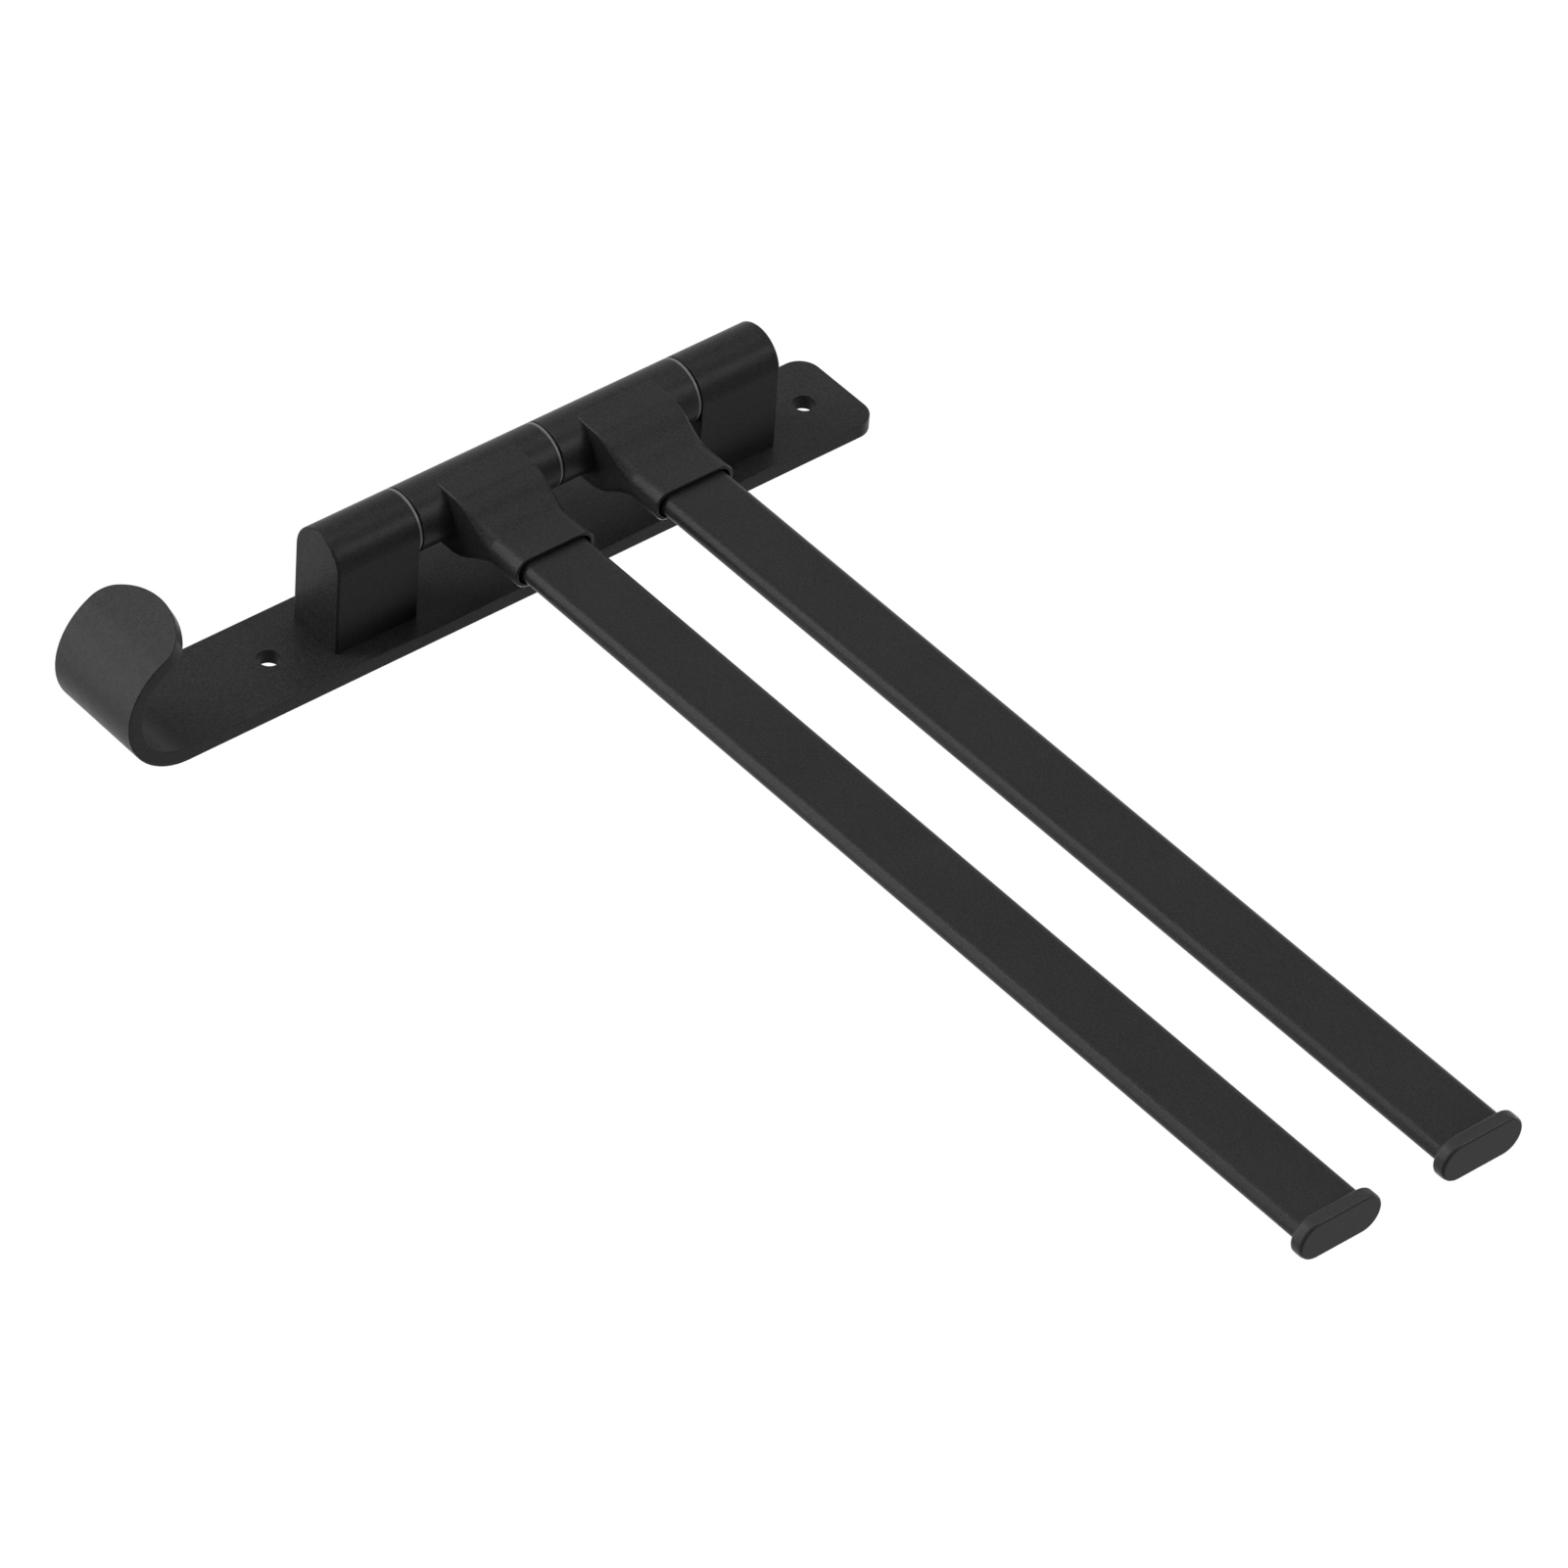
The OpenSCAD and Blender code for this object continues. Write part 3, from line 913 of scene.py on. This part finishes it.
@dataclass
class Posts:
    """The two arch-shaped posts that hold the rod, in millimetres.

    Attributes:
        length: Length of a post along the plate.
        base_depth: Distance from the wall to the posts' feet.
        end_round: Rounding of the outer end's edges.
        inner_round: Rounding of the inner end's edges.
        bore_radius: Radius of the rod's seat.
        bore_depth: Depth of the rod's seat.
    """

    length: float = 31.5
    base_depth: float = 5.4
    end_round: float = 0.9
    inner_round: float = 0.3
    bore_radius: float = 4.03
    bore_depth: float = 22.0

    def rim(self, work: Workpiece, z: float) -> list[Edge]:
        """A post's creases at a height."""
        return [e for e in work.creases() if all(abs(v.co.z - z) < LEVEL for v in e.verts)]

    def is_foot(self, edge: Edge) -> bool:
        """Whether an edge lies on the plate."""
        return all(abs(v.co.y + self.base_depth) < LEVEL for v in edge.verts)

    def build_one(self, tier: Tier) -> None:
        """Makes one post.

        Args:
            tier: Which of the two it is.
        """
        name, facets = f"{tier.label}_post", 64
        work = Workpiece(name + "_body")
        radius, centre = LAYOUT.hub_radius, -LAYOUT.axis_depth
        inner = LAYOUT.stack_z + tier.value * LAYOUT.stack_half
        outer = inner + tier.value * self.length
        turns = [math.pi * step / facets for step in range(facets + 1)]
        arch = [(radius * math.cos(t), centre - radius * math.sin(t), inner) for t in turns]
        feet = [(side * radius, -self.base_depth, inner) for side in (-1, 1)]
        work.push(work.cap(work.loop(arch + feet)), Vector((0, 0, outer - inner)))
        work.tidy()
        end = [edge for edge in self.rim(work, outer) if not self.is_foot(edge)]
        work.soften(end, self.end_round, facets=5)
        work.soften(self.rim(work, inner), self.inner_round)
        piece = work.finish()
        bore = turned("bore_cutter", [
            (0.0, -OVERCUT), (self.bore_radius, -OVERCUT), (self.bore_radius, self.bore_depth),
            (0.0, self.bore_depth)], facets)
        flip = Matrix.Rotation(math.pi, 4, "X") if tier is Tier.LOWER else Matrix.Identity(4)
        carve(piece, [bore.finish(Matrix.Translation((0.0, centre, inner)) @ flip)])
        install(piece, name, "wall_bracket", SHADED_POST_COAT)

    def build(self) -> None:
        """Makes both posts."""
        for tier in Tier:
            self.build_one(tier)


@dataclass
class SlidingWashers:
    """The thin washers between the hubs and posts, in millimetres.

    Attributes:
        thickness: Thickness of a washer.
        drop: How far a washer lies below the middle of the room between two hubs.
        outer_radius: Its outer radius.
        inner_radius: Its inner radius.
        edge: Rounding of its outer edges.
    """

    thickness: float = 1.0
    drop: float = 0.25
    outer_radius: float = 11.0
    inner_radius: float = 4.05
    edge: float = 0.15

    def build(self) -> None:
        """Makes the three washers."""
        half, rounding = self.thickness / 2, self.outer_radius - self.edge
        profile = rounded_profile([
            (self.inner_radius, -half, 0.0), (self.outer_radius, -half, self.edge),
            (self.outer_radius, half, self.edge), (self.inner_radius, half, 0.0)])
        for place, node in enumerate(("lower_washer", "middle_washer", "upper_washer"), -1):
            work = turned(node + "_ring", profile)
            # Marks the outer rounding for polish and a painted highlight.
            work.mark(lambda point: point.xy.length > rounding)
            z = place * LAYOUT.hub_pitch - self.drop
            piece = work.finish(Matrix.Translation(LAYOUT.axis_point(z)))
            install(piece, node, "wall_bracket", WASHER_PLASTIC)


@dataclass
class SwingArm:
    """One swing arm: hub with its neck and socket, flat bar and end cap, in millimetres.

    Attributes:
        tier: Which of the two arms it is.
        rim_edge: Rounding of the hub's rims.
        bush_radius: Radius of the bushes' seats.
        bush_length: Length of a bush.
        bore_radius: Radius of the bore between the bushes.
        socket_width: Width of the neck and socket.
        socket_height: Thickness of the socket.
        socket_reach: Distance from the axis to the socket's mouth.
        root_sink: How far the neck's first two sections lie inside and outside the hub's wall.
        neck_start: Where the neck starts to thin down.
        neck_end: Where it reaches the socket's thickness.
        neck_half: Half thickness of the neck at the hub.
        neck_edge: Radius of the neck's edges at the hub.
        lip: Rounding of the socket's lip.
        mouth_gap: Gap round the bar at the mouth.
        mouth_depth: Depth of that gap.
        pocket_depth: Depth of the pocket for the bar.
        fit: Clearance round the bar in the pocket.
        ridge_end: Distance from the axis where the polish and painted highlight of the neck's edges
            end.
        lip_polish_and_sheen: How far behind the mouth the socket's lip is polished and painted
            lighter as a highlight.
        polish_and_sheen_reach: How far the polish and painted highlight reach past an edge's
            rounding.
        screw_inset: Distance from the mouth to the bar's screws.
        screw_offset: Distance of each screw from the bar's middle line.
        screw_radius: Radius of the screw holes.
        screw_head_radius: Radius of their countersinks.
        screw_depth: Depth of the screw holes, more than the socket's wall.
        wall: Wall of the hollow bar.
        cap_width: Width of the end cap.
        cap_height: Height of the end cap.
        cap_thickness: Thickness of its flange.
        cap_edge: Rounding of its edges.
        spigot: Length of its spigot.
    """

    tier: Tier
    rim_edge: float = 0.3
    bush_radius: float = 5.5
    bush_length: float = 16.0
    bore_radius: float = 4.6
    socket_width: float = 31.0
    socket_height: float = 11.4
    socket_reach: float = 42.0
    root_sink: float = 0.3
    neck_start: float = 9.0
    neck_end: float = 29.0
    neck_half: float = 10.98
    neck_edge: float = 0.6
    lip: float = 0.4
    mouth_gap: float = 1.1
    mouth_depth: float = 3.0
    pocket_depth: float = 18.0
    fit: float = 0.1
    ridge_end: float = 25.0
    lip_polish_and_sheen: float = 0.6
    polish_and_sheen_reach: float = 0.1
    screw_inset: float = 9.0
    screw_offset: float = 6.5
    screw_radius: float = 1.6
    screw_head_radius: float = 2.9
    screw_depth: float = 3.0
    wall: float = 1.3
    cap_width: float = 31.6
    cap_height: float = 14.2
    cap_thickness: float = 4.9
    cap_edge: float = 1.0
    spigot: float = 14.0

    def name(self, piece: str) -> str:
        """The name of one of the arm's nodes or pieces."""
        return f"{self.tier.label}_{piece}"

    def place(self) -> Matrix:
        """Where the arm's own frame sits."""
        return LAYOUT.arm_place(self.tier)

    def neck_height(self, u: float) -> float:
        """Half thickness of the neck at a distance from the axis.

        Args:
            u: Distance from the swing axis.

        Returns:
            The half thickness: two equal arcs that meet halfway.
        """
        run = (self.neck_end - self.neck_start) / 2
        low = self.socket_height / 2
        fall = (self.neck_half - low) / 2
        arc = (run * run + fall * fall) / (2 * fall)
        if u <= self.neck_start:
            return self.neck_half
        if u <= self.neck_start + run:
            return self.neck_half - arc + math.sqrt(arc ** 2 - (u - self.neck_start) ** 2)
        if u < self.neck_end:
            return low + arc - math.sqrt(arc ** 2 - (self.neck_end - u) ** 2)
        return low

    def neck_radius(self, u: float) -> float:
        """Radius of the neck's long edges at a distance from the axis.

        Args:
            u: Distance from the swing axis.

        Returns:
            The radius, which grows to half of the socket's thickness.
        """
        full = self.socket_height / 2 - SLIVER
        share = (u - self.neck_start) / (self.neck_end - self.neck_start)
        return self.neck_edge + (full - self.neck_edge) * min(1.0, max(0.0, share)) ** 2

    def section(self, u: float, shrink: float = 0.0) -> list[Point3]:
        """One section of the neck or socket.

        Args:
            u: Its distance from the axis.
            shrink: How far inside the full section it lies.

        Returns:
            Its points.
        """
        least_radius = 0.05
        width, height = self.socket_width - 2 * shrink, 2 * (self.neck_height(u) - shrink)
        return self.ring(u, width, height, max(least_radius, self.neck_radius(u) - shrink))

    def ring(self, u: float, width: float, height: float, radius: float) -> list[Point3]:
        """A section with as many points as each section of the neck and pocket has."""
        return across(u, obround(width, height, radius, corner=14, flank=22))

    def pocket_section(self, u: float, clearance: float) -> list[Point3]:
        """A section of the pocket, larger than the bar by a clearance all round."""
        width, height = (size + 2 * clearance for size in (LAYOUT.bar_width, LAYOUT.bar_thickness))
        return self.ring(u, width, height, height / 2 - SLIVER)

    def bar_section(self, u: float, inset: float, corner: int) -> list[Point3]:
        """A section that lies inside the bar's surface by an inset all round."""
        width, height = (size - 2 * inset for size in (LAYOUT.bar_width, LAYOUT.bar_thickness))
        return across(u, obround(width, height, height / 2 - SLIVER / 2, corner))

    def neck_sections(self) -> list[list[Point3]]:
        """The sections along the neck and back into the pocket.

        Returns:
            The root inside the hub's wall, the neck, the lip and the pocket.
        """
        steps, lip_facets = 30, 4
        inside, first = LAYOUT.hub_radius - self.root_sink, LAYOUT.hub_radius + self.root_sink
        run, mouth, lip = self.neck_end - first, self.socket_reach, self.lip
        root = [(math.sqrt(max(0.0, inside ** 2 - y * y)), y, z) for _, y, z in self.section(0.0)]
        sections = [root] + [self.section(first + run * i / steps) for i in range(steps + 1)]
        for step in range(lip_facets + 1):
            angle = math.radians(90 * step / lip_facets)
            sections.append(
                self.section(mouth - lip + lip * math.sin(angle), lip * (1 - math.cos(angle))))
        for depth, clearance in ((0.0, self.mouth_gap), (self.mouth_depth, self.mouth_gap),
                                 (self.mouth_depth, self.fit), (self.pocket_depth, self.fit)):
            sections.append(self.pocket_section(mouth - depth, clearance))
        return sections

    def root_end(self, loop: list[Edge], side: int) -> list[Edge]:
        """The edges of the neck's root at its lower (-1) or upper (1) end."""
        limit = self.socket_width / 2 - self.neck_edge - LEVEL
        return [edge for edge in loop if all(side * vert.co.z > limit for vert in edge.verts)]

    def gets_polish_and_sheen(self, point: Vector) -> bool:
        """Whether a point of the neck gets edge polish and a painted highlight.

        Args:
            point: The point, in the arm's own frame.

        Returns:
            True on the socket's lip and along the long edges near the hub.
        """
        rounding = self.neck_edge + self.polish_and_sheen_reach
        at_end = abs(point.z) > self.socket_width / 2 - rounding
        at_face = abs(point.y) > self.neck_height(point.x) - rounding
        on_edge = point.x < self.ridge_end and at_end and at_face
        return on_edge or point.x > self.socket_reach - self.lip_polish_and_sheen

    def neck(self) -> Workpiece:
        """The neck and socket as one closed shell that grows out of the hub's wall.

        Returns:
            The workpiece.
        """
        work = Workpiece(self.name("neck"))
        loops = [work.loop(points) for points in self.neck_sections()]
        work.bridge(*loops)
        work.cap(loops[-1])
        work.bridge(self.root_end(loops[0], 1), self.root_end(loops[0], -1))
        work.tidy()
        # Marks the lip and the neck's long edges near the hub for polish and a painted highlight.
        work.mark(self.gets_polish_and_sheen)
        return work

    def barrel(self) -> Workpiece:
        """The hub's bored barrel.

        Returns:
            The workpiece.
        """
        half, radius = LAYOUT.hub_length / 2, LAYOUT.hub_radius
        seat, rim_ring = half - self.bush_length, half - 1.0
        upper = [(radius, rim_ring, 0.0), (radius, half, self.rim_edge),
                 (self.bush_radius, half, 0.0), (self.bush_radius, seat, 0.0),
                 (self.bore_radius, seat, 0.0)]
        lower = [(r, -z, e) for r, z, e in reversed(upper)]
        work = turned(self.name("hub_casting"), rounded_profile(upper + lower), facets=160)
        # Marks the hub's rims for polish and a painted highlight.
        edge = self.rim_edge + self.polish_and_sheen_reach
        work.mark(lambda point: abs(point.z) > half - edge and point.xy.length > radius - edge)
        return work

    def screw_cutter(self, side: int) -> Piece:
        """A solid that cuts one countersunk screw hole in the socket's wall side.

        Args:
            side: -1 for the lower hole, 1 for the upper one.

        Returns:
            The cutter.
        """
        radius, head, depth = self.screw_radius, self.screw_head_radius, self.screw_depth
        profile = [(0.0, -OVERCUT), (head + OVERCUT, -OVERCUT), (radius, head - radius),
                   (radius, depth), (0.0, depth)]
        work = turned("screw_cutter", profile, facets=48)
        seat = Matrix.Translation((
            self.socket_reach - self.screw_inset, self.socket_height / 2, side * self.screw_offset))
        return work.finish(self.place() @ seat @ Matrix.Rotation(math.radians(90.0), 4, "X"))

    def hub(self) -> None:
        """Makes the hub from its barrel and neck."""
        neck = self.neck().finish(self.place())
        carve(neck, [self.screw_cutter(side) for side in (-1, 1)])
        piece = self.barrel().finish(self.place())
        gather(piece, neck)
        install(piece, self.name("hub"), self.tier.body, HUB_COAT)

    def bar(self) -> None:
        """Makes the hollow flat bar."""
        work = Workpiece(self.name("flat_bar"))
        start, end = self.socket_reach - self.pocket_depth + self.fit, LAYOUT.bar_reach
        rings = [work.loop(self.bar_section(u, inset, corner=16))
                 for u, inset in ((start, self.wall), (start, 0.0), (end, 0.0), (end, self.wall))]
        work.bridge(*rings, rings[0])
        work.tidy()
        install(work.finish(self.place()), self.name("bar"), self.tier.body, BAR_COAT)

    def cap(self) -> None:
        """Makes the end cap with its spigot."""
        work = Workpiece(self.name("end_cap_moulding"))
        back = LAYOUT.bar_reach
        radius = self.cap_height / 2 - SLIVER
        flange = across(back, obround(self.cap_width, self.cap_height, radius, corner=20))
        work.push(work.cap(work.loop(flange)), Vector((self.cap_thickness, 0, 0)))
        work.tidy()
        work.soften(work.creases(), self.cap_edge, facets=4)
        spigot = self.bar_section(back, self.wall + self.fit, corner=10)
        work.push(work.cap(work.loop(spigot)), Vector((-self.spigot, 0, 0)))
        bmesh.ops.recalc_face_normals(work.bm, faces=work.bm.faces)
        install(work.finish(self.place()), self.name("end_cap"), self.tier.body, CAP_PLASTIC)

    def build(self) -> None:
        """Makes the arm's pieces."""
        self.hub()
        self.bar()
        self.cap()


@dataclass
class InnerFittings:
    """Finishes on the CAD nodes that keep their own shape: rod, screws, bushes and plugs.

    Attributes:
        finishes: The finish of each node.
    """

    finishes: dict[str, Finish] = field(default_factory=lambda: {
        "pivot_rod": ROD_STEEL, "post_screws": SCREW_STEEL, "rod_grub_screws": SCREW_STEEL,
        "lower_bar_screws": SCREW_STEEL, "upper_bar_screws": SCREW_STEEL,
        "lower_hub_bushes": BUSH_PLASTIC, "upper_hub_bushes": BUSH_PLASTIC,
        "lower_bar_plug": PLUG_METAL, "upper_bar_plug": PLUG_METAL})

    def dress(self) -> None:
        """Gives each node its material."""
        for name, finish in self.finishes.items():
            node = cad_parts[name]
            node.data.materials.clear()
            node.data.materials.append(finish.material())
            LOG.info("%s keeps its CAD shape, finish %s", name, finish.name)


@dataclass(frozen=True)
class Softbox:
    """A square lamp.

    Attributes:
        name: Its name.
        place: Where it hangs, in metres.
        side: Length of its sides in metres.
        watts: Its power.
        aim: The point that it faces, in metres.
    """

    name: str
    place: Point3
    side: float
    watts: float
    aim: Point3 = (0.15, -0.03, -0.02)

    def hang(self) -> None:
        """Adds the lamp to the scene, hidden from the camera."""
        data = bpy.data.lights.new(self.name, "AREA")
        data.shape = "SQUARE"
        data.size = self.side
        data.energy = self.watts
        lamp = bpy.data.objects.new(self.name, data)
        lamp.location = self.place
        lamp.rotation_mode = "QUATERNION"
        lamp.rotation_quaternion = (Vector(self.aim) - Vector(self.place)).to_track_quat("-Z", "Y")
        lamp.visible_camera = False
        bpy.context.scene.collection.objects.link(lamp)


@dataclass
class Studio:
    """Camera, lamps, floor and background.

    Attributes:
        camera_place: Where the camera stands, in metres.
        camera_turn: Its rotation.
        lens_mm: Its focal length.
        floor_z: Height of the floor in metres.
        floor_radius: Radius of the floor in metres.
        floor_greys: Darkest and lightest grey of its paint.
        floor_seen_white: Share of the floor that looks plain white, where the rest keeps a shadow.
        sky: Strength of the even light.
        softboxes: The lamps.
    """

    camera_place: Point3 = (1.792559, -1.98279, -1.525186)
    camera_turn: tuple[float, float, float, float] = (
        0.30849863, 0.849488, -0.17642026, 0.38996748)
    lens_mm: float = 224.867
    floor_z: float = -3.0
    floor_radius: float = 9.0
    floor_greys: Point = (0.86, 0.9)
    floor_seen_white: float = 0.95
    sky: float = 0.02
    softboxes: tuple[Softbox, ...] = (
        Softbox("front_softbox", (0.0, -2.6, 0.0), 1.4, 23.0),
        Softbox("side_softbox", (-1.4, -1.85, -0.62), 1.0, 5.0),
        Softbox("key_softbox", (-1.12, -1.68, -1.25), 0.9, 25.0),
        Softbox("low_side_softbox", (-1.5, -0.8, -2.1), 1.3, 33.0),
        Softbox("low_wall_softbox", (-1.5, 0.4, -2.1), 1.3, 17.0),
        Softbox("behind_softbox", (-1.6, 1.8, -1.4), 1.3, 1.5),
        Softbox("low_softbox", (-0.5, -0.5, -2.45), 1.2, 1.5),
        Softbox("right_softbox", (1.7, -1.5, 1.3), 1.0, 24.0),
        Softbox("back_softbox", (-0.05, -2.2, 1.3), 1.1, 7.0),
        Softbox("rear_softbox", (-0.3, 2.8, 0.9), 1.4, 45.0),
        Softbox("top_softbox", (0.1, 0.5, 2.9), 1.4, 25.0))

    def camera(self) -> None:
        """Puts the camera at the photograph's viewing angle."""
        data = bpy.data.cameras.new("camera")
        data.lens = self.lens_mm
        data.sensor_width = 36.0
        data.sensor_fit = "HORIZONTAL"
        data.clip_start = 0.05
        data.clip_end = 100.0
        camera = bpy.data.objects.new("camera", data)
        camera.location = self.camera_place
        camera.rotation_mode = "QUATERNION"
        camera.rotation_quaternion = Quaternion(self.camera_turn)
        bpy.context.scene.collection.objects.link(camera)
        bpy.context.scene.camera = camera

    def seen(self, sheet: Sheet) -> Port:
        """Where the camera, gloss or glass looks at the background.

        Args:
            sheet: The background's sheet.

        Returns:
            1 for such a look and 0 for any other light.
        """
        path = sheet.node("ShaderNodeLightPath")
        looks = ("Is Camera Ray", "Is Glossy Ray", "Is Transmission Ray")
        return sum(Port(sheet, path.outputs[look]) for look in looks).clamped()

    def background(self) -> None:
        """White where camera, gloss and glass see it, and a plain grey light for the rest."""
        world = bpy.context.scene.world or bpy.data.worlds.new("background")
        bpy.context.scene.world = world
        sheet = Sheet(world)
        dim, white = (sheet.node("ShaderNodeBackground", {}, {"Color": WHITE, "Strength": strength})
                      for strength in (self.sky, 1.0))
        mixed = sheet.node("ShaderNodeMixShader", {}, {0: self.seen(sheet), 1: dim, 2: white})
        sheet.node("ShaderNodeOutputWorld", {}, {"Surface": mixed})

    def floor(self) -> None:
        """Makes a pale floor well below the part, which hangs on a wall that isn't shown."""
        work, facets = Workpiece("studio_floor"), 64
        turns = [math.tau * step / facets for step in range(facets)]
        radius, z = self.floor_radius / MM, self.floor_z / MM
        work.cap(work.loop([(radius * math.cos(t), radius * math.sin(t), z) for t in turns]))
        floor = work.finish()
        material = bpy.data.materials.new("studio_floor")
        sheet = Sheet(material)
        patches = sheet.noise(size_mm=40.0, detail=2.0)
        paint = sheet.node("ShaderNodeBsdfPrincipled", {}, {
            "Base Color": sheet.blend(patches, *(grey(level) for level in self.floor_greys)),
            "Roughness": 0.8, "Specular IOR Level": 0.1})
        white = sheet.node("ShaderNodeEmission", {}, {"Color": WHITE, "Strength": 1.0})
        mixed = sheet.node("ShaderNodeMixShader", {}, {
            0: self.seen(sheet) * self.floor_seen_white, 1: paint, 2: white})
        sheet.node("ShaderNodeOutputMaterial", {}, {"Surface": mixed})
        floor.data.materials.append(material)

    def build(self) -> None:
        """Sets the stage."""
        bpy.context.scene.view_settings.view_transform = "Standard"
        self.camera()
        for softbox in self.softboxes:
            softbox.hang()
        self.background()
        self.floor()


def main() -> None:
    """Builds the stage and every sub-assembly."""
    logging.basicConfig(level=logging.INFO, format="%(message)s")
    Studio().build()
    BackPlate().build()
    Posts().build()
    SlidingWashers().build()
    for tier in Tier:
        SwingArm(tier).build()
    InnerFittings().dress()


if __name__ == "__main__":
    main()
